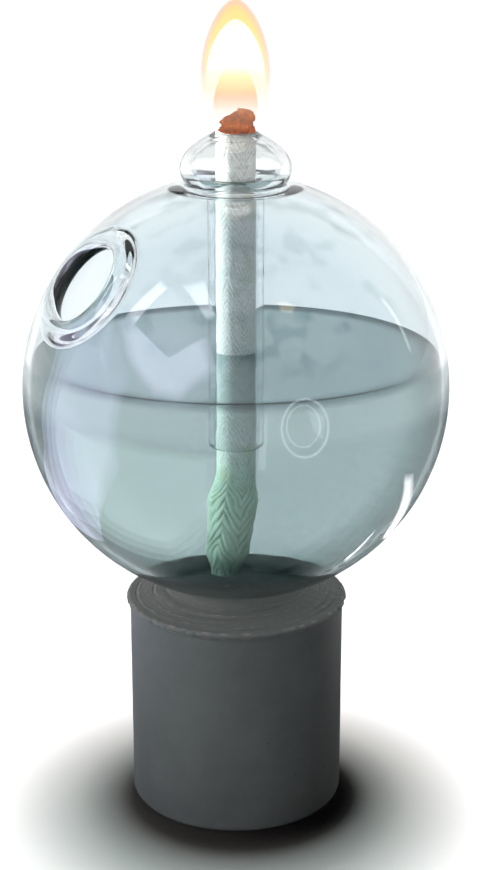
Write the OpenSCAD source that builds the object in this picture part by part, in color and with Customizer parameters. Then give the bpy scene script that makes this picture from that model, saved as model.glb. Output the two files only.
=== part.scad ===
// Glass globe oil lamp: a clear blown globe of lamp oil rests loose in the dished
// seat of a cast block. A glass wick holder hangs in the globe's top mouth, and a
// second mouth at the side takes the oil.
// Z is up. The origin is the centre of the face that the lamp stands on.

/* [Base block] */
// Diameter of the block's straight side
base_d = 51.8; // [40:0.2:80]
// Height of the block, from its underside to its rim
base_h = 52; // [25:1:110]
// How far the lip stands out from the side
lip_out = 0.85; // [0.3:0.05:2]
// Height of the lip's band
lip_h = 3; // [2:0.1:6]
// Radius of the rounded bottom edge
foot_r = 1.6; // [0.4:0.1:3]
// Radius of the ring that the globe touches
seat_r = 13; // [9:0.25:14]
// Height of that ring above the rim
seat_rise = 3.2; // [2.6:0.1:6]
// Width of the flat top of that ring
seat_land = 1.6; // [0.8:0.1:2]

/* [Foot pad] */
// How far the felt disc is set in from the block's side
pad_inset = 3.9; // [2:0.1:12]
// Thickness of the felt
pad_t = 1; // [0.5:0.1:3]

/* [Globe] */
// Outside diameter of the globe
globe_d = 100; // [80:1:130]
// Thickness of the blown wall
wall = 1.7; // [1.2:0.1:2.6]
// Clear width of the top mouth
mouth_d = 21.8; // [18:0.1:26]
// Thickness of the top mouth's rolled rim
mouth_rim = 2; // [1.9:0.1:3.2]
// How far that rim sits below the middle of the wall
mouth_sink = 0.5; // [0:0.05:1]
// Clear width of the filler mouth
filler_d = 18.6; // [12:0.1:24]
// Thickness of the filler mouth's rolled rim
filler_rim = 4; // [2.4:0.1:5]
// Compass angle of the filler mouth
filler_az = 211; // [180:1:260]
// Height of the filler mouth above the equator, in degrees
filler_el = 37; // [30:1:44]

/* [Lamp oil] */
// Level of the oil above the globe's centre
oil_level = 9; // [-10:0.5:10]

/* [Wick holder] */
// Bore of the tube
tube_bore = 10; // [6:0.1:12]
// Wall of the tube
tube_wall = 1.5; // [1:0.1:2]
// How far the tube reaches below the globe's centre
tube_drop = 14; // [0:0.5:24]
// How much wider the bulb is than the mouth that it rests on
bulb_over = 3.8; // [3.4:0.1:8]
// Nominal height of the bulb's dome above its widest ring
bulb_up = 8.7; // [7:0.1:12]
// Height of the bulb's bowl below its widest ring
bulb_down = 6.6; // [5:0.1:8]
// Wall of the bulb
bulb_wall = 1.3; // [0.9:0.1:1.6]

/* [Wick] */
// Thickness of the braided sleeve round the glass-fibre core
sleeve_t = 1.7; // [1:0.1:2]
// How much wider the wick is where it spreads below the tube
foot_over = 3.2; // [0.5:0.1:4]
// Length over which it spreads
spread_len = 6; // [3:0.5:10]
// Rounding of the wick's lower end
foot_round = 2; // [1:0.1:3]
// Length of wick that stands out of the holder
wick_out = 6; // [3:0.5:9]
// Drawing-up travel, which the spread part starts below the tube
feed = 6; // [3:0.5:8]

/* [Flame] */
// Widest diameter of the flame
flame_d = 16; // [12:0.5:20]
// Height of the flame above the holder
flame_h = 29.3; // [22:0.1:45]

/* [Clearances] */
// Gap between the globe and its seat
seat_gap = 0.1; // [0.05:0.05:0.3]
// Gap between the bulb and the mouth's rim
rest_gap = 0.1; // [0.05:0.05:0.3]
// Gap between the oil and the glass around it
oil_gap = 0.25; // [0.15:0.05:0.4]
// Gap between the wick and the tube's bore
wick_gap = 0.3; // [0.2:0.05:0.5]
// Gap between the core and its sleeve
core_gap = 0.05; // [0:0.05:0.2]
// Gap between the flame and the wick or the holder
flame_gap = 0.4; // [0.3:0.05:0.8]
// Gap between the wick's end and the globe's floor
floor_gap = 1.6; // [1:0.1:4]

/* [Hidden] */
$fn = 96;
STEPS = 14;     // points along each quarter of a blown profile
OVER = 1;       // how far a cutter runs past what it cuts

globe_r = globe_d / 2;
inner_r = globe_r - wall;
wall_mid_r = globe_r - wall / 2;
base_r = base_d / 2;
lip_r = base_r + lip_out;
rim_z = pad_t + base_h;
seat_z = rim_z + seat_rise;
globe_z = seat_z + seat_gap + sqrt(globe_r * globe_r - seat_r * seat_r);

// Where each rolled rim's ring runs: its radius, and its height above the globe's centre
mouth_ring_r = (mouth_d + mouth_rim) / 2;
mouth_ring_z = sqrt(pow(wall_mid_r, 2) - pow(mouth_ring_r, 2)) - mouth_sink;
filler_ring_r = (filler_d + filler_rim) / 2;
filler_ring_z = sqrt(pow(wall_mid_r, 2) - pow(filler_ring_r, 2));

// Blown bulb: a quarter of a superellipse, from its widest ring to the radius stop_r
bulb_r = (mouth_d + bulb_over) / 2;
bore_r = tube_bore / 2;
tube_r = bore_r + tube_wall;
bulb_edge_r = bore_r + 0.4 * tube_wall;
DOME_POWER = 1.7;
BOWL_POWER = 2.5;
function rise_at(r, r0, h, p) = h * pow(1 - pow(r / r0, p), 1 / p);
function quarter(r0, h, p, stop_r) = [for (i = [0:STEPS])
    let (r = stop_r + (r0 - stop_r) * cos(90 * i / STEPS)) [r, rise_at(r, r0, h, p)]];
function flipped(points) = [for (p = points) [p[0], -p[1]]];
function backwards(points) = [for (i = [len(points) - 1:-1:0]) points[i]];
function lifted(points, z) = [for (p = points) [p[0], p[1] + z]];

bowl = flipped(quarter(bulb_r, bulb_down, BOWL_POWER, tube_r));
dome = quarter(bulb_r, bulb_up, DOME_POWER, bulb_edge_r);
bowl_in = flipped(quarter(bulb_r - bulb_wall, bulb_down - bulb_wall, BOWL_POWER, bore_r));
dome_in = quarter(bulb_r - bulb_wall, bulb_up - bulb_wall, DOME_POWER, bore_r);

// The bulb drops until its bowl meets the rim's ring, less the gap
reach = mouth_rim / 2 + rest_gap;
bulb_rests = [for (p = bowl) if (abs(p[0] - mouth_ring_r) < reach)
    mouth_ring_z - p[1] + sqrt(reach * reach - pow(p[0] - mouth_ring_r, 2))];
bulb_z = globe_z + max(bulb_rests);
holder_top_z = bulb_z + dome[STEPS][1];
tube_end_z = globe_z - tube_drop;

sleeve_r = bore_r - wick_gap;
core_r = sleeve_r - sleeve_t;
foot_spread_r = sleeve_r + foot_over / 2;
oil_bore_r = max(tube_r, foot_spread_r) + oil_gap;
wick_top_z = holder_top_z + wick_out;
wick_low_z = globe_z - sqrt(pow(inner_r, 2) - pow(foot_spread_r, 2)) + floor_gap;
spread_z = tube_end_z - feed;
tip_r = sleeve_r - 0.7;

module ring(major_r, thick, z) {
    translate([0, 0, z])
        rotate_extrude() translate([major_r, 0]) circle(d = thick);
}

// The spun frame of the filler mouth, whose axis passes through the globe's centre
module at_filler() {
    translate([0, 0, globe_z])
        rotate([0, 90 - filler_el, filler_az]) children();
}

module foot_pad() {
    color("dimgray") cylinder(r = base_r - pad_inset, h = pad_t);
}

// A cast block with a lip, turned ridges that step up to the seat, and a dish in it
module base() {
    step = seat_rise / 8;
    lip_round = lip_h / 4;
    seat_out_r = seat_r + seat_land;
    ridge_r = [for (k = [0.78, 0.6, 0.42, 0.24]) seat_out_r + k * (lip_r - seat_out_r)];
    outline = concat(
        [[0, pad_t], [base_r - foot_r, pad_t]],
        [for (a = [-75:15:0]) [base_r - foot_r + foot_r * cos(a), pad_t + foot_r + foot_r * sin(a)]],
        [[base_r, rim_z - lip_h]],
        [for (a = [-60:15:90]) [lip_r - lip_round + lip_round * cos(a), rim_z - lip_round + lip_round * sin(a)]],
        [[ridge_r[0], rim_z], [ridge_r[0] - 0.3, rim_z + step],
         [ridge_r[1], rim_z + step], [ridge_r[1] - 0.3, rim_z + 2 * step],
         [ridge_r[2], rim_z + 2.6 * step], [ridge_r[2] - 0.3, rim_z + 3.6 * step],
         [ridge_r[3], rim_z + 5 * step], [seat_out_r, seat_z], [seat_r, seat_z], [0, seat_z]]);
    color("dimgray") difference() {
        rotate_extrude() polygon(outline);
        translate([0, 0, globe_z]) sphere(r = globe_r + seat_gap);
    }
}

module globe() {
    color("lightcyan", 0.4) difference() {
        union() {
            translate([0, 0, globe_z]) difference() {
                sphere(r = globe_r);
                sphere(r = inner_r);
                cylinder(r = mouth_ring_r + mouth_rim / 4, h = globe_r + OVER);
            }
            ring(mouth_ring_r, mouth_rim, globe_z + mouth_ring_z);
            at_filler() ring(filler_ring_r, filler_rim, filler_ring_z);
        }
        at_filler() cylinder(d = filler_d, h = globe_r + filler_rim);
    }
}

// Oil fills the globe to its level and leaves room for the holder's tube
module oil() {
    color("cadetblue", 0.5) difference() {
        translate([0, 0, globe_z]) difference() {
            sphere(r = inner_r - oil_gap);
            translate([-globe_r, -globe_r, oil_level]) cube(globe_d);
        }
        cylinder(r = oil_bore_r, h = globe_z + globe_r);
        at_filler() ring(filler_ring_r, filler_rim + 2 * oil_gap, filler_ring_z);
    }
}

// One piece of glass: a tube with a flattened bulb blown at its upper end
module wick_holder() {
    outline = concat(
        [[bore_r, tube_end_z], [tube_r, tube_end_z]],
        lifted(backwards(bowl), bulb_z), lifted(dome, bulb_z),
        lifted(backwards(dome_in), bulb_z), lifted(bowl_in, bulb_z));
    color("lightcyan", 0.5) rotate_extrude() polygon(outline);
}

module wick_core() {
    color("honeydew") translate([0, 0, wick_low_z])
        cylinder(r = core_r, h = wick_top_z - wick_low_z);
}

// A braided sleeve that spreads below the tube and is charred narrower at its tip
module wick_sleeve() {
    hollow_r = core_r + core_gap;
    outline = [[hollow_r, wick_low_z], [foot_spread_r - foot_round / 2, wick_low_z],
        [foot_spread_r, wick_low_z + foot_round], [foot_spread_r, spread_z - spread_len],
        [sleeve_r, spread_z], [sleeve_r, holder_top_z], [tip_r, wick_top_z - 1],
        [tip_r - 0.5, wick_top_z], [hollow_r, wick_top_z]];
    color("darkseagreen") rotate_extrude() polygon(outline);
}

// A drop-shaped flame round the wick's tip: a half ellipse below its widest ring
// and a pointed dome above it
module flame() {
    low_z = holder_top_z + flame_gap;
    wide_z = 0.4 * flame_h;
    function flame_r(z) = flame_d / 2 * (z < wide_z
        ? sqrt(1 - pow((wide_z - z) / (1.32 * wide_z), 2))
        : pow(1 - pow((z - wide_z) / (flame_h - wide_z), 2), 0.75));
    color("gold") difference() {
        translate([0, 0, low_z]) rotate_extrude()
            polygon(concat([[0, 0]], [for (i = [0:24]) [flame_r(i / 24 * flame_h), i / 24 * flame_h]]));
        cylinder(r = sleeve_r + flame_gap, h = wick_top_z + flame_gap);
    }
}

foot_pad();
base();
globe();
oil();
wick_holder();
wick_core();
wick_sleeve();
flame();
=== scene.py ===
import bpy
import math
import numpy as np
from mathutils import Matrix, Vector, noise


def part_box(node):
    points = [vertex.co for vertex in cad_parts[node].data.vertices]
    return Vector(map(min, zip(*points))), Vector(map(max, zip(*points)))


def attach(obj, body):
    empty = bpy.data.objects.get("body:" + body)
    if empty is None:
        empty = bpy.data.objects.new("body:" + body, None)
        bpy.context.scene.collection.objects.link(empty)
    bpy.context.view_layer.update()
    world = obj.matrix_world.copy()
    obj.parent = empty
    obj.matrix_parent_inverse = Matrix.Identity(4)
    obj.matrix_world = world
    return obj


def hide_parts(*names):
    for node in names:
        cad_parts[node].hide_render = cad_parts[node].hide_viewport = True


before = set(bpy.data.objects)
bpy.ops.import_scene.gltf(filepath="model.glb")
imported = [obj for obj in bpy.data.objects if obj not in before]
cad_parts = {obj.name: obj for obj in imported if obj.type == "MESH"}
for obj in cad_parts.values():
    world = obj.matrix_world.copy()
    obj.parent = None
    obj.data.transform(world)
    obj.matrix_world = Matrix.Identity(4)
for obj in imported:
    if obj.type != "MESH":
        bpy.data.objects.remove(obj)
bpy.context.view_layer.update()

# ---------------------------------------------------------------- foot pad
# A disc of pressed wool felt, die-cut and glued under the block, so that the cast
# underside doesn't scratch a table. Its cut edge is soft and a little furry.

MM = 0.001


def linear(hexa):
    """An sRGB hex colour as linear RGBA."""
    parts = [int(hexa[i:i + 2], 16) / 255 for i in (1, 3, 5)]
    return [c / 12.92 if c <= 0.04045 else ((c + 0.055) / 1.055) ** 2.4 for c in parts] + [1.0]


def add(tree, kind, links=None, values=None, stops=None, **settings):
    """Adds a node with its links, its sockets' values, its ramp's stops and its settings."""
    made = tree.nodes.new("ShaderNode" + kind)
    for name, value in settings.items():
        setattr(made, name, value)
    for socket, value in (values or {}).items():
        made.inputs[socket].default_value = value
    for socket, output in (links or {}).items():
        tree.links.new(output, made.inputs[socket])
    for k, (place, colour) in enumerate(stops or []):
        if k > 1:
            made.color_ramp.elements.new(place)
        made.color_ramp.elements[k].position = place
        made.color_ramp.elements[k].color = linear(colour)
    return made


def surface(name, **sockets):
    """A new material: itself, its node tree, its Principled shader and its output."""
    made = bpy.data.materials.new(name)
    made.use_nodes = True
    shader = made.node_tree.nodes["Principled BSDF"]
    for socket, value in sockets.items():
        shader.inputs[socket.replace("_", " ")].default_value = value
    return made, made.node_tree, shader, made.node_tree.nodes["Material Output"]


def spin(outline, turns=192):
    """Rings of points, one for each [radius, height] of the outline."""
    angle = np.linspace(0, 2 * math.pi, turns, endpoint=False)
    radius, height = np.array(outline, float).T
    return np.stack([np.outer(radius, np.cos(angle)), np.outer(radius, np.sin(angle)),
                     np.repeat(height[:, None], turns, 1)], axis=2)


def arc(centre, radius, start, end, steps):
    """Points [x, y] on an arc, from one angle in degrees to another."""
    return [[centre[0] + radius * math.cos(math.radians(a)), centre[1] + radius * math.sin(math.radians(a))]
            for a in np.linspace(start, end, steps)]


def skin(name, rings, body, material, node=None, joined=False, values=None):
    """A piece whose skin runs over rings of points. Its ends are closed, or joined to each other."""
    rows, turns, _ = rings.shape
    row, turn = np.meshgrid(np.arange(rows if joined else rows - 1), np.arange(turns), indexing="ij")
    here, there, after = row * turns, (row + 1) % rows * turns, (turn + 1) % turns
    quads = np.stack([here + turn, here + after, there + after, there + turn], 2).reshape(-1, 4)
    points = rings.reshape(-1, 3)
    corners = points[quads] - points.mean(0)
    volume = sum(np.einsum("ij,ij->", corners[:, 0], np.cross(corners[:, a], corners[:, b]))
                 for a, b in ((1, 2), (2, 3)))
    faces = quads.tolist()
    if not joined:
        faces += [list(range(turns))[::-1], list(range((rows - 1) * turns, rows * turns))]
    if volume < 0:
        faces = [face[::-1] for face in faces]
    mesh = bpy.data.meshes.new(name)
    mesh.from_pydata(points.tolist(), [], faces)
    mesh.shade_smooth()
    for key, value in (values or {}).items():
        layer = mesh.attributes.new(key, "FLOAT_COLOR", "POINT")
        layer.data.foreach_set("color", np.asarray(value, np.float32).ravel())
    mesh.materials.append(material)
    made = bpy.data.objects.new(name, mesh)
    bpy.context.scene.collection.objects.link(made)
    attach(made, body)
    if node:
        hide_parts(node)
    return made


def grey(values):
    """One number a point as an opaque grey."""
    values = np.clip(values, 0, 1)
    return np.stack([values, values, values, np.ones_like(values)], -1)


pad_r, pad_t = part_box("foot_pad")[1].x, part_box("foot_pad")[1].z
pad_edge = 0.3 * MM

# pressed wool felt: matte charcoal, with a faint nap that catches the light at its edge
felt, tree, shader, _ = surface("pressed wool felt", Base_Color=linear("#2b2c2d"), Roughness=0.95,
                                Sheen_Weight=0.4)
where = add(tree, "TexCoord")
fibres = add(tree, "TexNoise", {"Vector": where.outputs["Object"]}, {"Scale": 2500, "Detail": 6})
nap = add(tree, "Bump", {"Height": fibres.outputs["Fac"]}, {"Strength": 0.6, "Distance": 0.2 * MM})
tree.links.new(nap.outputs["Normal"], shader.inputs["Normal"])

skin("felt_pad", spin([[pad_r - pad_edge, 0]] + arc((pad_r - pad_edge, pad_edge), pad_edge, -60, 0, 4)
                      + arc((pad_r - pad_edge, pad_t - pad_edge), pad_edge, 0, 90, 5)),
     "base", felt, node="foot_pad")

# ---------------------------------------------------------------- cast block
# One block of pigmented concrete, cast in a tube mould. Its top was screeded on a wheel
# while green, which left a rolled lip, rough steps up to the seat and a dish for the globe.

base_low, base_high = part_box("base")
globe_low, globe_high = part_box("globe")
globe_r = (globe_high.y - globe_low.y) / 2
globe_z = globe_low.z + globe_r
lip_r = base_high.x
lip_over, seat_rise, seat_gap = 0.85 * MM, 3.2 * MM, 0.1 * MM
side_r = lip_r - lip_over
seat_z = base_high.z
rim_z = seat_z - seat_rise
seat_in, seat_out = 13 * MM, 14.6 * MM
foot_round, lip_round = 1.6 * MM, 0.8 * MM
# the steps up to the seat: how far out each one is, and how high it rises
steps = [(24.1 * MM, 0.45 * MM), (22.1 * MM, 0.45 * MM), (19.9 * MM, 0.75 * MM), (17.4 * MM, 0.75 * MM)]


def wander(angle, seed, waves, least=1):
    """A smooth random value from -1 to 1 that closes on itself round a turn."""
    dice = np.random.default_rng(seed)
    total = np.zeros_like(angle)
    for k in range(least, least + waves):
        total += dice.normal() * np.cos(k * angle + dice.uniform(0, 2 * math.pi))
    return np.tanh(total / math.sqrt(waves))


def smooth(value, start, end):
    share = np.clip((value - start) / (end - start), 0, 1)
    return share * share * (3 - 2 * share)


block_turns, lip_rows = 540, 14
angle = np.linspace(0, 2 * math.pi, block_turns, endpoint=False)
dish = [[r, globe_z - math.sqrt((globe_r + seat_gap) ** 2 - r ** 2)]
        for r in np.linspace(0.5 * MM, seat_in, 18)]
top = [[r, rim_z] for r in np.linspace(seat_out, lip_r - lip_round, 150)]
outline = dish + [[seat_out - 0.5 * MM, seat_z]] + top
outline += arc((lip_r - lip_round, rim_z - lip_round), lip_round, 80, -55, lip_rows)
outline += [[side_r + 0.1 * MM, rim_z - 1.9 * MM], [side_r, rim_z - 2.7 * MM]]
outline += [[side_r, z] for z in np.linspace(rim_z - 3.5 * MM, base_low.z + foot_round + MM, 70)]
outline += arc((side_r - foot_round, base_low.z + foot_round), foot_round, 0, -90, 9)
outline += [[side_r - 6 * MM, base_low.z]]
block = spin(outline, block_turns)
first, last = len(dish) + 1, len(dish) + 1 + len(top)
worn, groove_shade = np.zeros(block.shape[:2]), np.zeros(block.shape[:2])
radius = np.linalg.norm(block[:, :, :2], axis=2)

# the screeded steps: each wanders, has a torn groove at its foot, painted dark as shade, and a rubbed upper
# edge
for k, (place, rise) in enumerate(steps):
    edge = place + 0.28 * MM * wander(angle, 10 + k, 5) + 0.10 * MM * wander(angle, 40 + k, 40, 8)
    torn = np.clip(0.1 + 0.8 * wander(angle, 70 + k, 7), 0.0, 1)[None, :]
    out = radius[first:last] - edge[None, :]
    sharp = rise * (1 - smooth(out, -0.15 * MM, 0.35 * MM))
    eased = rise * (1 - smooth(out, -1.7 * MM, 1.3 * MM))
    groove = np.exp(-((out - 0.45 * MM) / (0.11 * MM)) ** 2) * torn
    burr = np.exp(-((out + 0.22 * MM) / (0.10 * MM)) ** 2) * (0.4 + 0.6 * torn)
    block[first:last, :, 2] += sharp * torn + eased * (1 - torn) - 0.18 * MM * groove + 0.04 * MM * burr
    worn[first:last] += burr * np.clip(0.1 + wander(angle, 90 + k, 60, 9), 0, 1)[None, :]
    # the grooves are painted near black, as the shade in them
    groove_shade[first:last] += 0.8 * groove
shallow = 0.8 * MM * smooth(-radius[first:last], -17 * MM, -seat_out)
block[first:last, :, 2] = np.minimum(block[first:last, :, 2] + shallow, seat_z)

# tool marks between the steps, chips along the lip, and the mould's own faint unevenness
for i in range(first, last):
    for j in range(block_turns):
        x, y, z = block[i, j]
        turn = math.atan2(y, x)
        streak = noise.noise(Vector((radius[i, j] * 3600, math.cos(turn) * 5, math.sin(turn) * 5)))
        lump = noise.fractal(Vector((x, y, 0)) * 420, 0.8, 2.1, 3)
        block[i, j, 2] = min(z + 0.06 * MM * streak + 0.09 * MM * lump, seat_z)
on_lip = (np.arange(len(outline)) >= last - 5) & (np.arange(len(outline)) < last + lip_rows)
chips = np.clip(wander(angle, 5, 70, 9) - 0.2, 0, 1) * np.clip(0.3 + wander(angle, 6, 7), 0, 1)
block[:, :, :2] *= (1 - on_lip[:, None] * chips[None, :] * 0.55 * MM / lip_r)[:, :, None]
lip_edge = np.exp(-((radius - lip_r + 0.45 * MM) / (0.22 * MM)) ** 2) * on_lip[:, None]
worn += 0.6 * lip_edge * np.clip(0.05 + wander(angle, 8, 60, 9), 0, 1)[None, :]
for i in range(last + lip_rows, len(outline) - 10):
    for j in range(block_turns):
        block[i, j, :2] *= 1 + 0.03 * MM / side_r * noise.fractal(Vector(block[i, j]) * 130, 0.9, 2.0, 3)

# pigmented cast concrete: matte, slate grey, with cloudy pigment, grit and a few burst air bubbles;
# its grooves and open bubbles are painted dark, as shade
concrete, tree, shader, _ = surface("pigmented cast concrete", Roughness=0.66, Specular_IOR_Level=0.3)
where = add(tree, "TexCoord")
cloud = add(tree, "TexNoise", {"Vector": where.outputs["Object"]},
            {"Scale": 60, "Detail": 6, "Roughness": 0.65})
pigment = add(tree, "ValToRGB", {"Fac": cloud.outputs["Fac"]}, stops=[(0.3, "#4e504f"), (0.72, "#5b5d5c")])
# the top face, where the paste was trowelled, dried a little browner
height = add(tree, "SeparateXYZ", {"Vector": where.outputs["Object"]})
trowelled = add(tree, "MapRange", {"Value": height.outputs["Z"]},
                {"From Min": rim_z - 0.9 * MM, "From Max": rim_z})
browned = add(tree, "Mix", {0: trowelled.outputs[0], 6: pigment.outputs["Color"]}, {7: linear("#5a5653")},
              data_type="RGBA")
rubbed = add(tree, "Attribute", attribute_name="worn")
bare = add(tree, "Mix", {0: rubbed.outputs["Fac"], 6: browned.outputs[2]}, {7: linear("#97877b")},
           data_type="RGBA")
# painted shade: the steps' grooves darkened near black
groove_shade_attr = add(tree, "Attribute", attribute_name="groove_shade")
groove_shaded = add(tree, "Mix", {0: groove_shade_attr.outputs["Fac"], 6: bare.outputs[2]}, {7: linear("#1e1d1c")},
            data_type="RGBA")
# air bubbles about 0.5 mm across, one every 7 mm or so, of which a third opened at the surface;
# the open ones are painted near black, as the shade inside them
cells = add(tree, "TexVoronoi", {"Vector": where.outputs["Object"]}, {"Scale": 150})
pit = add(tree, "MapRange", {"Value": cells.outputs["Distance"]}, {"From Min": 0.03, "From Max": 0.07})
cell = add(tree, "SeparateColor", {"Color": cells.outputs["Color"]})
whole = add(tree, "Math", {0: cell.outputs["Red"]}, {1: 0.33}, operation="GREATER_THAN")
solid = add(tree, "Math", {0: pit.outputs[0], 1: whole.outputs[0]}, operation="MAXIMUM")
pit_shaded = add(tree, "Mix", {0: solid.outputs[0], 7: groove_shaded.outputs[2]}, {6: linear("#1b1b1b")},
             data_type="RGBA")
tree.links.new(pit_shaded.outputs[2], shader.inputs["Base Color"])
# sand grains about 0.4 mm across
grit = add(tree, "TexNoise", {"Vector": where.outputs["Object"]}, {"Scale": 2200, "Detail": 3})
relief = add(tree, "Math", {0: grit.outputs["Fac"], 1: solid.outputs[0]}, operation="ADD")
grain = add(tree, "Bump", {"Height": relief.outputs[0]}, {"Strength": 0.3, "Distance": 0.12 * MM})
tree.links.new(grain.outputs["Normal"], shader.inputs["Normal"])

skin("cast_block", block, "base", concrete, node="base",
     values={"worn": grey(worn), "groove_shade": grey(groove_shade)})

# ---------------------------------------------------------------- globe
# A ball of borosilicate glass, blown in one piece. Its two holes were opened in the
# flame, and their edges rolled back on themselves into thick, clear rims.

wall = 1.7 * MM
filler_az, filler_el = math.radians(211), math.radians(37)
# each hole's direction, its rim's ring, the rim's half thickness and how far it fades into the wall
mouth = {"axis": np.array([0, 0, 1.0]),
         "ring_r": 11.9 * MM, "ring_z": 47.19 * MM, "bead": 1.0 * MM, "fade": 4 * MM}
filler = {"axis": np.array([math.cos(filler_el) * math.cos(filler_az),
                            math.cos(filler_el) * math.sin(filler_az), math.sin(filler_el)]),
          "ring_r": 11.3 * MM, "ring_z": 47.83 * MM, "bead": 2.0 * MM, "fade": 4.5 * MM}
for hole in (mouth, filler):
    hole["tilt"] = math.atan2(hole["ring_r"], hole["ring_z"])
    hole["reach"] = math.hypot(hole["ring_r"], hole["ring_z"])


def between_holes(one, other, rows, turns):
    """Unit directions over a ball with two round holes, in rings that run evenly from the edge
    of one hole to the edge of the other."""
    a, b = one["axis"], other["axis"]
    cos_a, cos_b = math.cos(one["tilt"]), math.cos(other["tilt"])
    side = np.cross(a, b)
    across = side / np.linalg.norm(side)
    # both edges' planes meet in a line, and the planes through that line that touch the ball
    # touch it at two poles, one in each hole, which every ring goes round
    foot = np.linalg.solve(np.array([a, b, side]), [cos_a, cos_b, 0])
    reach = np.linalg.norm(foot)
    inward = foot / reach
    along = np.cross(across, inward)
    poles = [inward / reach + sign * math.sqrt(1 - 1 / reach ** 2) * along for sign in (1, -1)]
    near, far = sorted(poles, key=lambda pole: -float(pole @ a))
    x_axis = np.cross(across, far)
    y_axis = np.cross(far, x_axis)

    def flat(p):
        return complex(float(p @ x_axis), float(p @ y_axis)) / (1 - float(p @ far))

    middle = flat(near)
    ends = [abs(flat(axis * math.cos(tilt) + across * math.sin(tilt)) - middle)
            for axis, tilt in ((a, one["tilt"]), (b, other["tilt"]))]
    size = np.exp(np.linspace(math.log(ends[0]), math.log(ends[1]), rows))
    turn = np.linspace(0, 2 * math.pi, turns, endpoint=False)
    w = middle + size[:, None] * np.exp(1j * turn)[None, :]
    scale = 1 + np.abs(w) ** 2
    return ((2 * w.real / scale)[..., None] * x_axis + (2 * w.imag / scale)[..., None] * y_axis
            + ((np.abs(w) ** 2 - 1) / scale)[..., None] * far)


def blown(direction, radius, side):
    """The wall's outer (side 1) or inner (side -1) face, which swells into each hole's rim."""
    reach = np.full(direction.shape[:2], radius)
    for hole in (mouth, filler):
        tilt = np.arccos(np.clip(direction @ hole["axis"], -1, 1))
        share = 1 - smooth((tilt - hole["tilt"]) * radius / hole["fade"], 0, 1)
        reach += share * (hole["reach"] + side * hole["bead"] - radius)
    return direction * reach[..., None]


def rim(edge, hole, angles):
    """Rings round a hole's rolled rim, past its outer face, its hole and its inner face."""
    axis = hole["axis"]
    unit = edge / np.linalg.norm(edge, axis=1)[:, None]
    out = unit - (unit @ axis)[:, None] * axis
    out /= np.linalg.norm(out, axis=1)[:, None]
    radial = math.sin(hole["tilt"]) * out + math.cos(hole["tilt"]) * axis
    tangent = math.cos(hole["tilt"]) * out - math.sin(hole["tilt"]) * axis
    return np.stack([hole["reach"] * radial + hole["bead"] * (math.cos(t) * tangent + math.sin(t) * radial)
                     for t in np.radians(angles)])


directions = between_holes(mouth, filler, 150, 320)
outer, inner = blown(directions, globe_r, 1), blown(directions, globe_r - wall, -1)
rolled = np.linspace(90, 270, 17)[1:-1]
shell = np.concatenate([outer, rim(outer[-1], filler, rolled), inner[::-1],
                        rim(inner[0], mouth, rolled[::-1])])
shell += np.array([0, 0, globe_z])


def clear_glass(name, facing_paint, shade):
    """Clear glass: facing_paint is its colour from face on to edge on, which paints light and shade on its
    edges, and shade its shadow's colour.
    """
    made, tree, shader, output = surface(name, Roughness=0.0, IOR=1.47, Transmission_Weight=1.0)
    slant = add(tree, "LayerWeight", values={"Blend": 0.5})
    tint = add(tree, "ValToRGB", {"Fac": slant.outputs["Facing"]}, stops=facing_paint)
    tree.links.new(tint.outputs["Color"], shader.inputs["Base Color"])
    path = add(tree, "LightPath")
    clear = add(tree, "BsdfTransparent", values={"Color": linear(shade)})
    lit = add(tree, "MixShader",
              {0: path.outputs["Is Shadow Ray"], 1: shader.outputs[0], 2: clear.outputs[0]})
    tree.links.new(lit.outputs[0], output.inputs["Surface"])
    return made, tree, shader, slant, tint


# blown borosilicate glass: mirror smooth, faintly blue-grey, a little uneven. Towards its edge its
# colour is painted paler, as a sheen, and at the very edge darker, as shade
glass, tree, shader, slant, dry = clear_glass(
    "blown borosilicate glass",
    [(0.0, "#dfe7ea"), (0.30, "#dfe8ec"), (0.60, "#fbffff"), (0.985, "#f4f9fa"), (1.0, "#d3dbde")],
    "#f0f3f3")
# where oil wets it, the wall takes the oil's colour, and towards the edge it is painted much darker, as
# shade
wet_and_edge_shade = add(tree, "ValToRGB", {"Fac": slant.outputs["Facing"]},
          stops=[(0.40, "#dfe8ea"), (0.70, "#a3b3b4"), (0.80, "#56686a"), (1.0, "#364547")])
where = add(tree, "TexCoord")
height = add(tree, "SeparateXYZ", {"Vector": where.outputs["Object"]})
fill_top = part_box("oil")[1].z
dry_share = add(tree, "MapRange", {"Value": height.outputs["Z"]},
                {"From Min": fill_top - 0.5 * MM, "From Max": fill_top + 0.8 * MM})
either = add(tree, "Mix", {0: dry_share.outputs[0], 6: wet_and_edge_shade.outputs["Color"], 7: dry.outputs["Color"]},
             data_type="RGBA")
tree.links.new(either.outputs[2], shader.inputs["Base Color"])
# the wall's unevenness is ripples about 25 mm long, too shallow to measure
ripple = add(tree, "TexNoise", {"Vector": where.outputs["Object"]}, {"Scale": 40, "Detail": 1})
uneven = add(tree, "Bump", {"Height": ripple.outputs["Fac"]}, {"Strength": 0.15, "Distance": 0.5 * MM})
tree.links.new(uneven.outputs["Normal"], shader.inputs["Normal"])

skin("blown_globe", shell, "globe", glass, node="globe", joined=True)

# ---------------------------------------------------------------- lamp oil
# Tinted paraffin lamp oil, poured in to a little over half. Its surface creeps up the
# glass in a thin meniscus, which is painted dark as a line of shade round the globe.

fill_z = fill_top - globe_z
oil_r = globe_r - wall - 0.06 * MM
creep = 0.6 * MM
level_steps, side_steps, creep_steps, oil_turns = 12, 110, 12, 288

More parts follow.
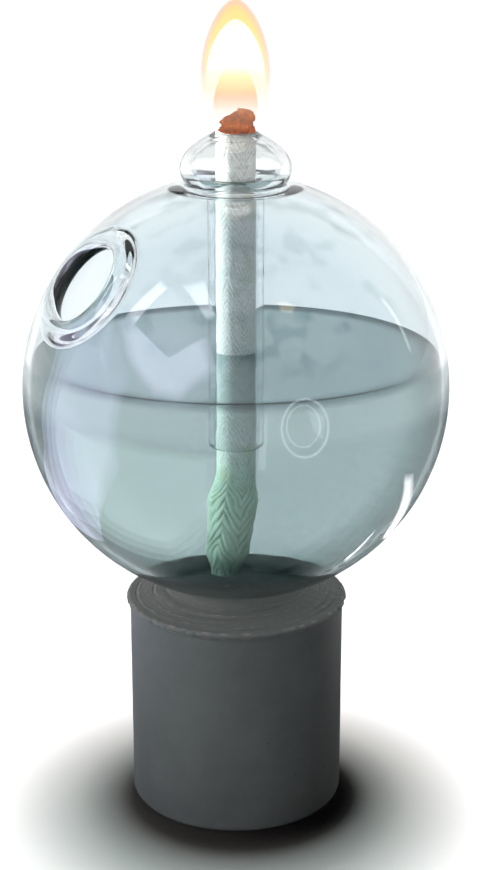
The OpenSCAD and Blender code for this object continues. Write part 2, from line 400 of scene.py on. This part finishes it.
creep_r = math.sqrt(oil_r ** 2 - (fill_z + creep) ** 2)
meniscus = [[creep_r - creep * 2.2 * (1 - math.sqrt(1 - t)), fill_z + creep * (1 - t) ** 2]
            for t in np.linspace(0, 1, creep_steps)]
high_tilt = math.degrees(math.asin((fill_z + creep) / oil_r))
oil_outline = ([[0.02 * MM, -oil_r]] + arc((0, 0), oil_r, -89, high_tilt, side_steps) + meniscus[1:]
               + [[r, fill_z] for r in np.linspace(meniscus[-1][0], 0.02 * MM, level_steps)[1:]])
liquid = spin(oil_outline, oil_turns) + np.array([0, 0, globe_z])
# the meniscus rows, whose colour is painted dark as a line of shade
meniscus_shade = np.zeros(len(oil_outline))
meniscus_shade[side_steps - 1:side_steps + creep_steps] = 1
meniscus_shade[side_steps - 2] = 0.5
level = np.zeros(len(oil_outline))
level[side_steps + creep_steps - 1:] = 1

# tinted paraffin: clear teal-grey, a little darker looked at through its surface, and painted
# darker towards its edge, as shade. Real oil's index is about 1.44; 1.02 keeps what lies behind it
# upright, so that the block's top shows
oil, tree, shader, output = surface("tinted lamp oil", Roughness=0.0, IOR=1.02, Transmission_Weight=1.0)
meniscus_shade_attr = add(tree, "Attribute", attribute_name="meniscus_shade")
levels = add(tree, "Attribute", attribute_name="level")
slant = add(tree, "LayerWeight", values={"Blend": 0.5})
# painted shade: the oil darker towards its edge
body = add(tree, "ValToRGB", {"Fac": slant.outputs["Facing"]}, stops=[(0.45, "#b9c4c3"), (0.97, "#7d9191")])
open_top = add(tree, "Mix", {0: levels.outputs["Fac"], 6: body.outputs["Color"]}, {7: linear("#93a4a7")},
               data_type="RGBA")
# painted shade: the meniscus drawn as a dark line
dark_line = add(tree, "Mix", {0: meniscus_shade_attr.outputs["Fac"], 6: open_top.outputs[2]}, {7: linear("#5c6c70")},
                data_type="RGBA")
tree.links.new(dark_line.outputs[2], shader.inputs["Base Color"])
path = add(tree, "LightPath")
clear = add(tree, "BsdfTransparent", values={"Color": linear("#e4ebea")})
lit = add(tree, "MixShader", {0: path.outputs["Is Shadow Ray"], 1: shader.outputs[0], 2: clear.outputs[0]})
tree.links.new(lit.outputs[0], output.inputs["Surface"])

ones = np.ones((1, oil_turns))
skin("lamp_oil", liquid, "oil", oil, node="oil",
     values={"meniscus_shade": grey(meniscus_shade[:, None] * ones), "level": grey(level[:, None] * ones)})

# ---------------------------------------------------------------- wick holder
# Clear glass tubing with a flattened bulb blown near its upper end. The bulb sits on
# the mouth's rim, and the cut lower end hangs in the oil.

holder_low, holder_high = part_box("wick_holder")
bulb_r, bore_r, tube_r = holder_high.x, 5.0 * MM, 6.5 * MM
bulb_up, bulb_down, bulb_wall = 8.7 * MM, 6.6 * MM, 2.3 * MM
mouth_edge = bore_r + 0.6 * MM
dome_power, bowl_power = 1.7, 2.5


def quarter(widest, height, power, stop, rows=30):
    """Points from a bulb's widest ring to the radius where it stops, on a superellipse."""
    radius = stop + (widest - stop) * np.cos(np.linspace(0, math.pi / 2, rows))
    return np.stack([radius, height * (1 - (radius / widest) ** power) ** (1 / power)], 1)


dome = quarter(bulb_r, bulb_up, dome_power, mouth_edge)
bowl = quarter(bulb_r, bulb_down, bowl_power, tube_r) * [1, -1]
dome_in = quarter(bulb_r - bulb_wall, bulb_up - bulb_wall, dome_power, bore_r)
bowl_in = quarter(bulb_r - bulb_wall, bulb_down - bulb_wall, bowl_power, bore_r) * [1, -1]
lip_top = dome[-1][1]
bulb_z = holder_high.z - lip_top
end_z = holder_low.z - bulb_z
end_round = (tube_r - bore_r) / 2
end_at = (bore_r + end_round, end_z + end_round)
tube_out = [[tube_r, z] for z in np.linspace(end_at[1], bowl[-1][1] - 1.2 * MM, 14)]
tube_in = [[bore_r, z] for z in np.linspace(bowl_in[-1][1] - 1.2 * MM, end_at[1], 14)]
outline = arc(end_at, end_round, -90, 0, 7)[:-1] + tube_out + bowl[::-1].tolist() + dome[1:].tolist()
outline += arc((mouth_edge - 0.35 * MM, lip_top - 0.1 * MM), 0.35 * MM, 60, 170, 5)
outline += dome_in[::-1].tolist() + bowl_in[1:].tolist() + tube_in
outline += arc(end_at, end_round, 180, 270, 7)[1:-1]

# drawn borosilicate tubing: thicker for its size than the globe; its edges are painted grey to near
# black, as shade, so they show as grey lines
holder_glass, tree, shader, _, _ = clear_glass(
    "drawn borosilicate tubing", [(0.60, "#f6f9f9"), (0.86, "#97a1a3"), (0.98, "#454c4e")], "#f0f3f3")
where = add(tree, "TexCoord")
# the bulb was blown by hand: its wall is uneven every 6 mm or so
swirl = add(tree, "TexNoise", {"Vector": where.outputs["Object"]}, {"Scale": 170, "Detail": 1})
uneven = add(tree, "Bump", {"Height": swirl.outputs["Fac"]}, {"Strength": 0.25, "Distance": 0.6 * MM})
tree.links.new(uneven.outputs["Normal"], shader.inputs["Normal"])
skin("holder_tube", spin(outline, 160) + np.array([0, 0, bulb_z]), "wick_holder", holder_glass,
     node="wick_holder", joined=True)

# ---------------------------------------------------------------- wick
# Glass-fibre rope: straight roving in a plaited sleeve. It is limp, fills the tube,
# spreads below it, and folds where its foot nears the globe's floor.

wick_low, wick_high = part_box("wick_sleeve")
tube_end = holder_low.z
feed = 6 * MM
sleeve_r, foot_r = bore_r - 0.3 * MM, wick_high.x
foot_lean, foot_back = -2.6 * MM, 0.6 * MM   # how far the foot has moved along x and y
wick_top = holder_high.z + 0.3 * MM
PLAITS = 4           # seams round the sleeve, where its bundles turn back
LAY = 1.5 * MM       # rise from one bundle to the next, inside the tube
SLANT = 6.5 * MM     # how much lower a bundle is at a seam than midway to the next

rope_turns = 160
heights = np.linspace(wick_low.z + 0.2 * MM, wick_top, 620)
z, t = np.meshgrid(heights, np.linspace(0, 2 * math.pi, rope_turns, endpoint=False), indexing="ij")
share = np.clip((tube_end - feed - heights) / (tube_end - feed - wick_low.z), 0, 1)[:, None]
spread = smooth(share, 0, 0.30)
fold = 1 - 0.42 * smooth(share, 0.72, 1.0)
seam = np.abs(((t - 5.1) * PLAITS / math.pi) % 2 - 1)
wobble = np.array([[noise.noise(Vector((math.cos(a) * 1.6, math.sin(a) * 1.6, h / (4 * MM)))) for a in t[0]]
                   for h in heights])
rise = LAY * (1 + 0.9 * spread)
drift = (1.2 + 1.2 * spread) * MM * wobble
phase = np.cumsum(np.diff(heights, prepend=heights[0])[:, None] / rise, 0) + (SLANT * seam + drift) / rise
bundle = np.abs(np.sin(math.pi * phase)) ** 0.6
fibres = np.array([[noise.noise(Vector((p * 2.6, s * 2.5, 0.3 * s))) for p, s in zip(*rows)]
                   for rows in zip(phase, seam)]) * 0.5 + 0.5
relief = 0.10 * MM + 0.35 * MM * spread
girth = sleeve_r - 0.05 * MM + (foot_r - sleeve_r - 0.5 * MM) * spread
girth = girth * fold * (1 + 0.09 * spread * wobble + 0.05 * spread * np.sin(2 * t + 7 * share))
radius = girth - relief * (1 - bundle) - (0.10 + 0.15 * spread) * MM * (1 - fibres)
rope = np.stack([radius * np.cos(t) + foot_lean * share, radius * np.sin(t) + foot_back * share, z], 2)

# braided glass-fibre rope: pale mint where oil has soaked it, painted grey-green between the
# bundles and in the fibres' dips, as shade
braided, tree, shader, _ = surface("braided glass-fibre rope", Roughness=0.75, Sheen_Weight=0.15)
plait_shade = add(tree, "Attribute", attribute_name="bundle")
where = add(tree, "TexCoord")
# single threads are too fine to show, so the noise stands for small strands of them
hair = add(tree, "TexNoise", {"Vector": where.outputs["Object"]},
           {"Scale": 1900, "Detail": 5, "Roughness": 0.7})
thread_tone_and_shade = add(tree, "Math", {0: plait_shade.outputs["Fac"], 1: hair.outputs["Fac"]}, operation="MULTIPLY")
tone = add(tree, "ValToRGB", {"Fac": thread_tone_and_shade.outputs[0]}, stops=[(0.08, "#8f938c"), (0.40, "#ebe9e4")])
# rust-yellow stains, a few millimetres across, from use
stain = add(tree, "TexNoise", {"Vector": where.outputs["Object"]}, {"Scale": 190, "Detail": 3})
spots = add(tree, "MapRange", {"Value": stain.outputs["Fac"]},
            {"From Min": 0.56, "From Max": 0.70, "To Max": 0.35})
# below the tube the soaked rope is greener
height = add(tree, "SeparateXYZ", {"Vector": where.outputs["Object"]})
soaked = add(tree, "MapRange", {"Value": height.outputs["Z"]},
             {"From Min": tube_end + 3 * MM, "From Max": tube_end - 9 * MM})
green = add(tree, "Mix", {0: soaked.outputs[0], 6: tone.outputs["Color"]}, {7: linear("#c4e2d0")},
            data_type="RGBA", blend_type="MULTIPLY")
stained = add(tree, "Mix", {0: spots.outputs[0], 6: green.outputs[2]}, {7: linear("#a9bd8c")},
              data_type="RGBA")
tree.links.new(stained.outputs[2], shader.inputs["Base Color"])
fuzz = add(tree, "Bump", {"Height": hair.outputs["Fac"]}, {"Strength": 0.6, "Distance": 0.3 * MM})
tree.links.new(fuzz.outputs["Normal"], shader.inputs["Normal"])
# the bundle value darkens the colour between the bundles and where the fibres dip, as painted shade
skin("wick_sleeve_braid", rope, "wick", braided, node="wick_sleeve",
     values={"bundle": grey((0.5 + 0.5 * bundle) * (0.40 + 0.60 * fibres) * 1.25)})

# glass-fibre roving: straight pale threads, seen only at the wick's foot
roving, tree, shader, _ = surface("glass-fibre roving", Roughness=0.6)
where = add(tree, "TexCoord")
# threads about 0.3 mm apart that run along the wick
drawn = add(tree, "Mapping", {"Vector": where.outputs["Object"]}, {"Scale": (3000, 3000, 120)})
lines = add(tree, "TexNoise", {"Vector": drawn.outputs["Vector"]}, {"Scale": 1, "Detail": 3})
tone = add(tree, "ValToRGB", {"Fac": lines.outputs["Fac"]}, stops=[(0.3, "#8fa79b"), (0.7, "#e2f0ea")])
tree.links.new(tone.outputs["Color"], shader.inputs["Base Color"])
core_turns = 48
core_turn = np.linspace(0, 2 * math.pi, core_turns, endpoint=False)
core_z = np.linspace(wick_low.z, wick_top, 60)
core_share = np.clip((tube_end - feed - core_z) / (tube_end - feed - wick_low.z), 0, 1)[:, None]
core_r = 2.9 * MM * (0.95 + 0.05 * np.cos(9 * core_turn))[None, :]
core = np.stack([core_r * np.cos(core_turn) + foot_lean * core_share,
                 core_r * np.sin(core_turn) + foot_back * core_share,
                 core_z[:, None] * np.ones((1, core_turns))], 2)
skin("wick_core_roving", core, "wick", roving, node="wick_core")

# the charred tip: a ragged clump that leans up to one side
tip_r, tip_h = 3.75 * MM, wick_high.z - holder_high.z
tip_rows, tip_turns = 44, 84
ember = np.zeros((tip_rows, tip_turns, 3))
for i, s in enumerate(np.linspace(0, 1, tip_rows)):
    for j, a in enumerate(np.linspace(0, 2 * math.pi, tip_turns, endpoint=False)):
        round_off = math.sqrt(max(1 - (max(s - 0.8, 0) / 0.2) ** 2, 0.0003))
        spot = Vector((math.cos(a) * tip_r, math.sin(a) * tip_r, s * tip_h))
        ragged = noise.fractal(spot * 620, 0.7, 2.1, 4) * 0.75 * MM
        top = tip_h * (0.80 + 0.13 * math.cos(a) + 0.07 * math.cos(3 * a + 1))
        r = (tip_r * (0.98 + 0.04 * math.sin(7 * s)) + ragged) * round_off
        ember[i, j] = (r * math.cos(a) + 0.35 * MM, r * math.sin(a),
                       s * top + 0.4 * ragged * (1 - round_off))
ember[:, :, 2] = np.clip(ember[:, :, 2], 0, tip_h - 0.05 * MM) + holder_high.z - 0.2 * MM

# charred fibre that glows: crusted, rust brown, with brighter orange where the crust is open
char, tree, shader, _ = surface("glowing charred fibre", Base_Color=linear("#2a0f04"),
                                Roughness=0.9, Emission_Strength=0.85, Specular_IOR_Level=0.1)
where = add(tree, "TexCoord")
clumps = add(tree, "TexNoise", {"Vector": where.outputs["Object"]},
             {"Scale": 520, "Detail": 5, "Roughness": 0.6})
heat = add(tree, "ValToRGB", {"Fac": clumps.outputs["Fac"]},
           stops=[(0.32, "#551c00"), (0.48, "#983c04"), (0.60, "#b4520c"), (0.74, "#ff8a1a")])
tree.links.new(heat.outputs["Color"], shader.inputs["Emission Color"])
crust = add(tree, "Bump", {"Height": clumps.outputs["Fac"]}, {"Strength": 0.9, "Distance": 0.5 * MM})
tree.links.new(crust.outputs["Normal"], shader.inputs["Normal"])
skin("wick_tip_ember", ember, "wick", char)

# ---------------------------------------------------------------- flame
# Burning paraffin vapour: a warm inner cone round the tip, a white-hot heart, yellow
# glowing soot and a thin pinkish mantle. Each is a closed skin inside the next.

flame_low, flame_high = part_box("flame")
flame_r = flame_high.x

# burning vapour: gives light and hides little of what is behind it
burning, tree, shader, output = surface("burning paraffin vapour")
glow = add(tree, "Attribute", attribute_name="glow")
cover = add(tree, "Attribute", attribute_name="cover")
light = add(tree, "Emission", {"Color": glow.outputs["Color"]})
through = add(tree, "BsdfTransparent")
veil = add(tree, "MixShader", {0: cover.outputs["Fac"], 1: through.outputs[0], 2: light.outputs[0]})
tree.links.new(veil.outputs[0], output.inputs["Surface"])


def drop(widest, low, high, wide_share=0.40, rows=80):
    """The outline of a drop: part of an ellipse under its widest ring, and a rounded dome above."""
    tall = high - low
    s = np.linspace(0, 1, rows)
    s = 1 - (1 - s) ** 1.8
    wide = wide_share * tall
    below = np.sqrt(np.clip(1 - ((wide - s * tall) / (1.32 * wide)) ** 2, 0, 1))
    above = np.clip(1 - ((s * tall - wide) / (tall - wide)) ** 2, 0, 1) ** 0.62
    radius = np.maximum(widest * np.where(s * tall < wide, below, above), 0.01 * MM)
    return np.stack([radius, low + s * tall], 1)


def flame_zone(name, outline, tones):
    """One zone of the flame. tones are its colour and cover at heights in mm above the flame's foot."""
    rings = spin(outline, 96)
    up = rings[:, :, 2] - flame_low.z
    marks, colours, covers = zip(*tones)
    marks, colours = [mark * MM for mark in marks], np.array(colours)
    light = np.stack([np.interp(up, marks, colours[:, k]) for k in range(3)] + [np.ones_like(up)], 2)
    return skin(name, rings, "wick", burning,
                values={"glow": light, "cover": grey(np.interp(up, marks, covers))})


base_z, tip_z = flame_low.z, flame_high.z
mantle = flame_zone("flame_mantle", drop(flame_r, base_z, tip_z),
                    [(0, (0.90, 0.58, 0.50), 0.06), (6, (0.90, 0.58, 0.50), 0.10),
                     (14, (0.86, 0.50, 0.42), 0.24), (29, (0.88, 0.50, 0.36), 0.36)])
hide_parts("flame")
flame_zone("flame_orange_skin", drop(flame_r - 0.3 * MM, base_z, tip_z - 0.4 * MM),
           [(0, (1.1, 0.72, 0.45), 0.02), (7, (1.1, 0.72, 0.38), 0.08), (15, (1.1, 0.68, 0.26), 0.22),
            (29, (1.1, 0.68, 0.22), 0.34)])
flame_zone("flame_soot_cone", drop(flame_r - 0.7 * MM, base_z, tip_z - 1.5 * MM),
           [(0, (1.2, 1.0, 0.50), 0.0), (7, (1.2, 1.0, 0.50), 0.05), (14, (1.3, 1.2, 0.35), 0.14),
            (28, (1.3, 1.1, 0.22), 0.46)])
flame_zone("flame_pale_cone", drop(flame_r - 1.0 * MM, base_z + 0.5 * MM, tip_z - 2.6 * MM),
           [(0, (1.3, 1.2, 0.7), 0.0), (9, (1.3, 1.2, 0.7), 0.0), (15, (1.5, 1.45, 0.7), 0.16),
            (28, (1.3, 1.25, 0.4), 0.60)])
flame_zone("flame_heart", drop(flame_r - 1.3 * MM, base_z + MM, tip_z - 4.6 * MM),
           [(0, (1.8, 1.8, 1.8), 0.0), (9.5, (1.8, 1.8, 1.8), 0.0), (12.5, (1.8, 1.8, 1.8), 0.22),
            (15, (2.4, 2.4, 2.4), 0.60), (17.5, (4, 4, 4), 1.0)])
flame_zone("flame_inner_cone", drop(5.0 * MM, base_z, base_z + 15.5 * MM, 0.34),
           [(0, (1.0, 0.60, 0.38), 0.04), (4.5, (1.0, 0.60, 0.40), 0.08), (8, (1.0, 0.62, 0.42), 0.58),
            (10, (1.05, 0.78, 0.36), 0.72), (12.5, (1.1, 1.05, 0.30), 0.62), (15, (1.2, 1.2, 0.6), 0.10)])

# ---------------------------------------------------------------- stage
# A white paper sweep under a broad overhead lamp, two narrow lamps from the left, a round
# of gauze that shades the paper, and lit panes that only the glass reflects.

scene = bpy.context.scene


def card(name, corners, material):
    mesh = bpy.data.meshes.new(name)
    mesh.from_pydata([tuple(c) for c in corners], [], [list(range(len(corners)))])
    mesh.materials.append(material)
    made = bpy.data.objects.new(name, mesh)
    scene.collection.objects.link(made)
    return made


# white paper: matte and even. In the glass's mirror it is dark near the lamp and pale further
# off, and bounced light meets it as a dark grey, so that the glass keeps its contrast
paper, tree, shader, output = surface("white paper sweep")
white = add(tree, "BsdfDiffuse", values={"Color": (0.85, 0.85, 0.85, 1)})
where = add(tree, "TexCoord")
away = add(tree, "VectorMath", {0: where.outputs["Object"]}, operation="LENGTH")
far = add(tree, "MapRange", {"Value": away.outputs["Value"]}, {"From Min": 0.34, "From Max": 0.50})
near = add(tree, "Mix", {0: far.outputs[0]}, {6: (0.12, 0.125, 0.13, 1), 7: (0.75, 0.77, 0.78, 1)},
           data_type="RGBA")
path = add(tree, "LightPath")
seen = add(tree, "Mix", {0: path.outputs["Is Diffuse Ray"], 6: near.outputs[2]}, {7: (0.25, 0.26, 0.27, 1)},
           data_type="RGBA")
dimmer = add(tree, "BsdfDiffuse", {"Color": seen.outputs[2]})
mirrored = add(tree, "Math", {0: path.outputs["Is Glossy Ray"], 1: path.outputs["Is Transmission Ray"]},
               operation="SUBTRACT", use_clamp=True)
bounced = add(tree, "Math", {0: path.outputs["Is Diffuse Ray"], 1: mirrored.outputs[0]}, operation="MAXIMUM")
swap = add(tree, "MixShader", {0: bounced.outputs[0], 1: white.outputs[0], 2: dimmer.outputs[0]})
tree.links.new(swap.outputs[0], output.inputs["Surface"])
sweep = 30
card("floor", [(-sweep, -sweep, 0), (sweep, -sweep, 0), (sweep, sweep, 0), (-sweep, sweep, 0)], paper)

# the room is white round the horizon, and white with dark patches overhead, which draw the
# glass's edges. It gives little light of its own, so that the lamps' shadows stay
world = bpy.data.worlds.new("studio")
scene.world = world
world.use_nodes = True
tree = world.node_tree
where = add(tree, "TexCoord")
height = add(tree, "SeparateXYZ", {"Vector": where.outputs["Generated"]})
blinds = add(tree, "TexNoise", {"Vector": where.outputs["Generated"]}, {"Scale": 5, "Detail": 1})
ceiling = add(tree, "ValToRGB", {"Fac": blinds.outputs["Fac"]}, stops=[(0.36, "#4a5254"), (0.48, "#ffffff")])
above = add(tree, "MapRange", {"Value": height.outputs["Z"]}, {"From Min": 0.22, "From Max": 0.45})
room = add(tree, "Mix", {0: above.outputs[0], 7: ceiling.outputs["Color"]}, {6: (1, 1, 1, 1)},
           data_type="RGBA")
path = add(tree, "LightPath")
dim = add(tree, "Mix", {0: path.outputs["Is Diffuse Ray"], 6: room.outputs[2]}, {7: (0.10, 0.112, 0.12, 1)},
          data_type="RGBA")
tree.links.new(dim.outputs[2], tree.nodes["Background"].inputs["Color"])


def lamp(name, kind, place, aim, **settings):
    """A lamp at a place, aimed at a point, that neither the glass nor the oil shows."""
    data = bpy.data.lights.new(name, kind)
    for key, value in settings.items():
        setattr(data, key, value)
    made = bpy.data.objects.new(name, data)
    made.location = place
    made.rotation_euler = (Vector(aim) - Vector(place)).to_track_quat("-Z", "Y").to_euler()
    made.visible_glossy = made.visible_transmission = False
    scene.collection.objects.link(made)


lamp("overhead", "SUN", (0, 0.13, 1), (0, 0, 0), energy=4.4, angle=math.radians(20))
# a soft one for the block's left side, and a hard one for the wick's
lamp("left_softbox", "SPOT", (-0.48, -0.50, 0.11), (0, 0, 0.024), spot_size=math.radians(7.5),
     spot_blend=0.5, shadow_soft_size=0.09, energy=38, color=(0.96, 0.99, 1.0))
lamp("side_snoot", "SPOT", (-0.88, 0.16, 0.15), (0, 0, 0.125), spot_size=math.radians(7.5),
     spot_blend=0.4, shadow_soft_size=0.03, energy=150, color=(0.98, 1.0, 0.98))

# a round of gauze just over the paper, black in its middle and clear at its edge, which
# deepens the shadow that the block stands in. It can't be seen itself
gauze, tree, shader, output = surface("shading gauze")
where = add(tree, "TexCoord")
out = add(tree, "VectorMath", {0: where.outputs["Object"]}, operation="LENGTH")
thin = add(tree, "MapRange", {"Value": out.outputs["Value"]}, {"From Min": 25 * MM, "From Max": 75 * MM})
weave = add(tree, "ValToRGB", {"Fac": thin.outputs[0]},
            stops=[(0.0, "#080707"), (0.05, "#2c2625"), (0.14, "#8f8683"), (0.34, "#cfc8c5"),
                   (0.65, "#f4f1ef"), (1.0, "#ffffff")])
veil = add(tree, "BsdfTransparent", {"Color": weave.outputs["Color"]})
tree.links.new(veil.outputs[0], output.inputs["Surface"])
gauze_r = 80 * MM
gobo = card("gobo", [(gauze_r * math.cos(a), gauze_r * math.sin(a), 0)
                     for a in np.linspace(0, 2 * math.pi, 64, endpoint=False)], gauze)
gobo.location = (1.5 * MM, -4 * MM, 1.5 * MM)
gobo.visible_camera = gobo.visible_glossy = gobo.visible_transmission = False

view = bpy.data.cameras.new("camera")
camera = bpy.data.objects.new("camera", view)
scene.collection.objects.link(camera)
distance, elevation = 0.400, math.radians(15.5)
camera.location = (0, -distance * math.cos(elevation), globe_z + distance * math.sin(elevation))
target = Vector((2.1 * MM, 0, globe_z - 11.8 * MM))
camera.rotation_euler = (target - camera.location).to_track_quat("-Z", "Y").to_euler()
view.sensor_fit = "HORIZONTAL"
view.sensor_width = 36
view.lens = 124.6
view.clip_end = 100
scene.camera = camera
scene.view_settings.view_transform = "Standard"
scene.cycles.max_bounces = 24
scene.cycles.transmission_bounces = 20
scene.cycles.transparent_max_bounces = 48


def pane(name, outline, colour, strength, away=0.5, softness=0.12):
    """A lit pane that the globe's front reflects to the camera in the outline given, in mm from the
    globe's middle. It is four panes one behind another, each smaller, so its edge is soft."""
    lit, tree, _, output = surface(name)
    light = add(tree, "Emission", values={"Color": linear(colour), "Strength": strength / 4})
    through = add(tree, "BsdfTransparent")
    both = add(tree, "AddShader", {0: light.outputs[0], 1: through.outputs[0]})
    tree.links.new(both.outputs[0], output.inputs["Surface"])
    middle = Vector((0, 0, globe_z))
    toward = (camera.location - middle).normalized()
    right = Vector((0, 0, 1)).cross(toward).normalized()
    up = toward.cross(right)
    shape = np.array(outline, float)
    for k, size in enumerate(np.linspace(1 + softness, 1 - softness, 4)):
        corners = []
        for x, z in (shape - shape.mean(0)) * size + shape.mean(0):
            front = math.sqrt(globe_r ** 2 - (x * x + z * z) * MM * MM)
            spot = middle + right * x * MM + up * z * MM + toward * front
            ray = (spot - camera.location).normalized()
            normal = (spot - middle).normalized()
            corners.append(spot + (ray - normal * 2 * ray.dot(normal)) * away * (1 + 0.02 * k))
        made = card(f"{name}_{k}", corners, lit)
        made.visible_camera = made.visible_diffuse = False
        made.visible_transmission = made.visible_shadow = False


def ring(x, z, wide, tall, thick):
    """The outline of a thin oval ring, in mm, slit at one side."""
    turn = np.linspace(0, 2 * math.pi, 40)
    return ([(x + wide * math.cos(a), z + tall * math.sin(a)) for a in turn]
            + [(x + (wide - thick) * math.cos(a), z + (tall - thick) * math.sin(a)) for a in turn[::-1]])


pane("window_left_pane", [(-23, 15), (-16, 22), (-14.5, 20.5), (-21, 13.5)], "#f2f6ff", 8.0, 0.45)
pane("window_right_pane", [(-11, 21), (-6.5, 22), (-4.5, 15), (-6, 14)], "#f2f6ff", 7.0, 0.45)
pane("window_lower_pane",
     [(-23, 14), (-21, 13), (-14, 6), (-7, 10), (-5, 4), (-12, -2), (-17, -1), (-22, 6)],
     "#e4e0fb", 5.5, 0.50)
pane("window_wide_pane", [(-27, 12), (-14, 15), (-4, 10), (-4, 1), (-13, -3), (-24, 2)],
     "#dfe4fb", 2.4, 0.50, 0.25)
pane("door_haze",
     [(-34, 13), (-39, 2), (-41, -12), (-38, -26), (-30, -30), (-26, -16), (-24, 0), (-27, 12)],
     "#d6d4fa", 4.0, 0.09, 0.2)
pane("low_haze", [(-36, -9), (-24, -12), (-14, -14), (-4, -15), (-4, -26), (-14, -36), (-30, -30)],
     "#d5efe6", 3.0, 0.075, 0.15)
pane("upper_haze", [(-30, 12), (-8, 24), (-4, 6), (-12, -6), (-28, -4)], "#e0def8", 1.4, 0.60, 0.3)
pane("right_haze", [(6, 24), (26, 16), (24, 2), (6, 8)], "#dfe9f2", 0.7, 0.60, 0.3)
pane("filler_echo", ring(14.4, -8.6, 5.2, 6.4, 0.5), "#eef3f6", 4.0, 0.12, 0.02)
pane("filler_echo_inner", ring(14.0, -8.2, 3.7, 4.6, 0.35), "#eef3f6", 3.4, 0.12, 0.02)
pane("filler_echo_shine", [(15, -5), (18.5, -6), (18, -11), (16, -9)], "#eef6f6", 2.6, 0.12, 0.15)
pane("right_streak", [(37, -20), (39, -20), (35, -34), (33.5, -34)], "#ffffff", 5.0, 0.07)
pane("right_streak_low", [(30, -33), (31, -32), (25, -39), (24.4, -38.6)], "#ffffff", 4.0, 0.055)
pane("right_streak_high", [(31, 19), (32, 19), (38, 8), (37.4, 8)], "#ffffff", 3.0, 0.5)
pane("tube_glints", [(5, -6), (6.5, -6), (6, -17), (4.5, -17)], "#eef6f6", 2.0, 0.10)
pane("candle_glint", [(8.4, 17.6), (10.0, 17.8), (12.4, 17.0), (11.6, 15.4), (9.6, 15.6)],
     "#ffe3a8", 4.0, 0.4)
